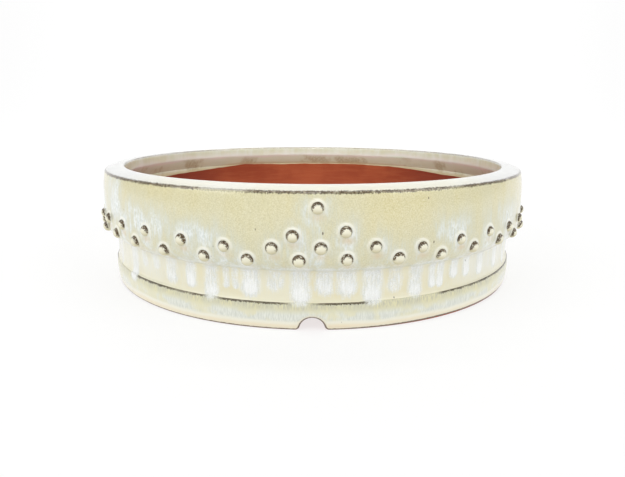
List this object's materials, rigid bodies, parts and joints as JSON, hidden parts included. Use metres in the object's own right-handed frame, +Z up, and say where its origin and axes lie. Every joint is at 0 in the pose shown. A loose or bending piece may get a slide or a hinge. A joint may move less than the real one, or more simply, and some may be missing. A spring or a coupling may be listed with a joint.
{
  "type": "bonsai pot",
  "caption": "Round shallow stoneware bonsai pot: bulging studded wall under an in-turned rim, recessed waist, notched foot ring and pierced floor",
  "frame": {"origin": "centre of the ring the pot stands on, at the level of the table", "axes": "+Z up through the mouth; -Y is the front, through the front notch and under the front crest of studs; +X to the right seen from the front"},
  "size_m": [0.2634, 0.2634, 0.0666],
  "materials": {
    "cream_glaze": "glossy cream glaze, breaking brown on the arrises",
    "stud_glaze": "glossy cream glaze broken to dark brown",
    "bare_clay": "unglazed matt red stoneware"
  },
  "bodies": {
    "root": {"rim_lip": "cream_glaze", "drum_wall": "cream_glaze", "waist_band": "cream_glaze", "foot_ring": "cream_glaze", "floor_slab": "bare_clay", "lower_studs_front": "stud_glaze", "lower_studs_right": "stud_glaze", "lower_studs_left": "stud_glaze", "upper_studs_front": "stud_glaze", "upper_studs_right": "stud_glaze", "upper_studs_left": "stud_glaze", "crest_pair_front": "stud_glaze", "crest_pair_right": "stud_glaze", "crest_pair_left": "stud_glaze", "crest_apex_front": "stud_glaze", "crest_apex_right": "stud_glaze", "crest_apex_left": "stud_glaze"}
  },
  "joints": []
}
